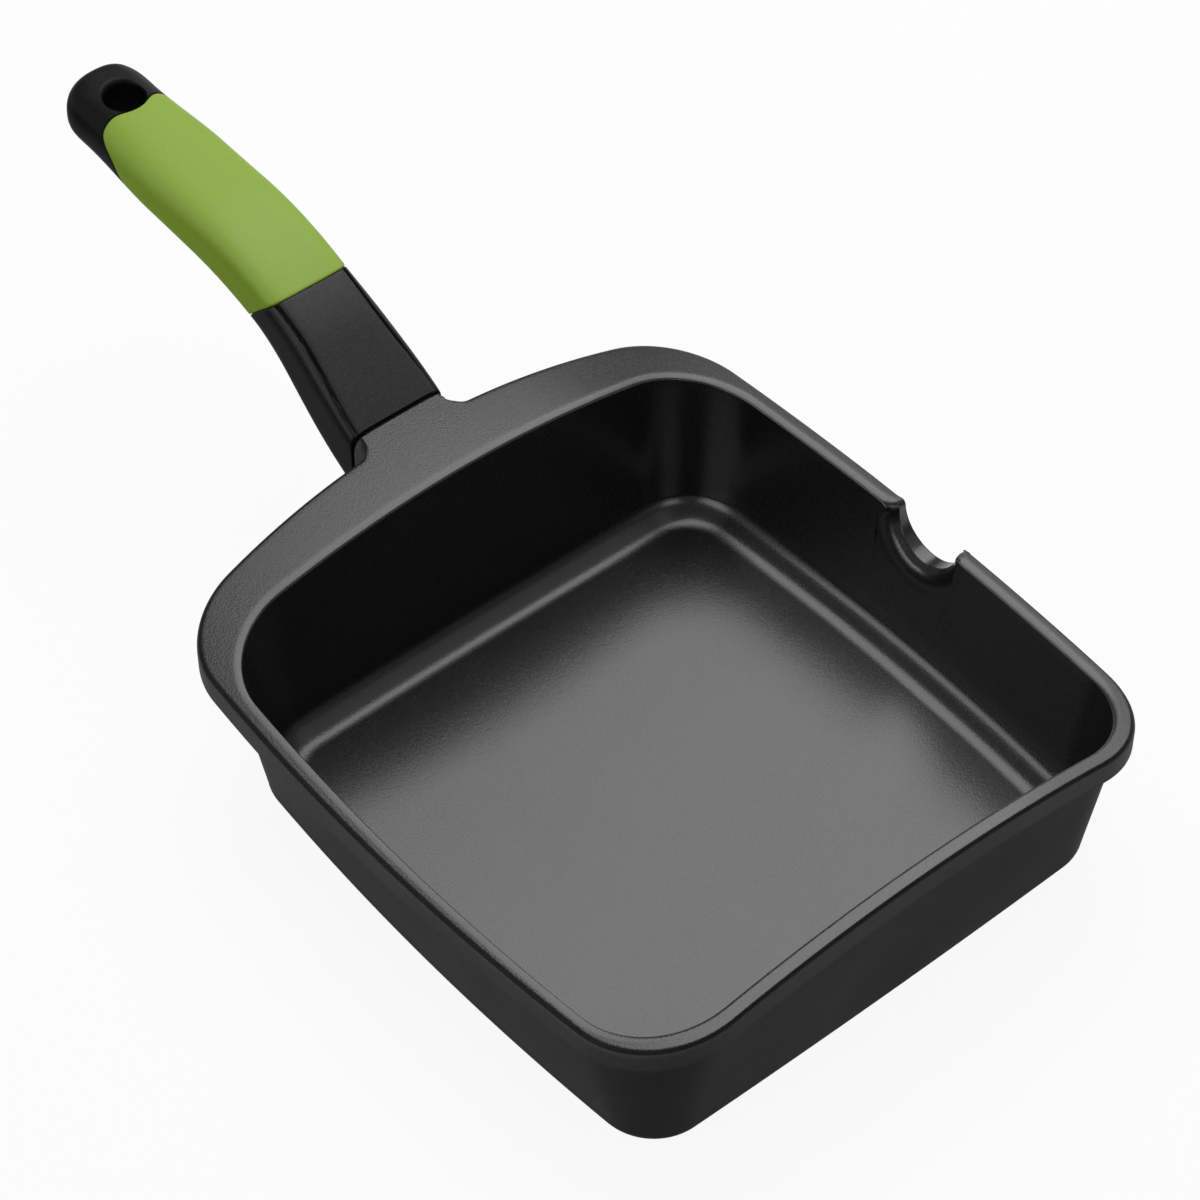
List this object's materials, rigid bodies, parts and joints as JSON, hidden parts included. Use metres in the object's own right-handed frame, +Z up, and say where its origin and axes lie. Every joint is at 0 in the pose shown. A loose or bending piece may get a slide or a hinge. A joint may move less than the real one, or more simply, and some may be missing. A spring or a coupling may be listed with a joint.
{
  "type": "grill pan",
  "caption": "Square cast grill pan with an arched rim, a pour notch, a flange and a rising black handle with a soft green sleeve and a hang hole.",
  "frame": {"origin": "centre of the flat base, on the surface that the pan stands on", "axes": "+Z up out of the pan, +Y along the handle, away from the pan, +X towards the pour notch"},
  "size_m": [0.2276, 0.4291, 0.1181],
  "materials": {
    "coated_cast": "satin dark grey non-stick coating with a fine grain",
    "stainless_plate": "brushed",
    "heat_break": "matt",
    "handle_black": "satin black phenolic",
    "grip_green": "soft-touch silicone",
    "fixing_steel": "bright zinc"
  },
  "bodies": {
    "root": {"pan_body": "coated_cast", "induction_plate": "stainless_plate", "joint_gasket": "heat_break", "handle_core": "handle_black", "grip_sleeve": "grip_green", "handle_screw": "fixing_steel", "lock_washer": "fixing_steel"}
  },
  "joints": []
}
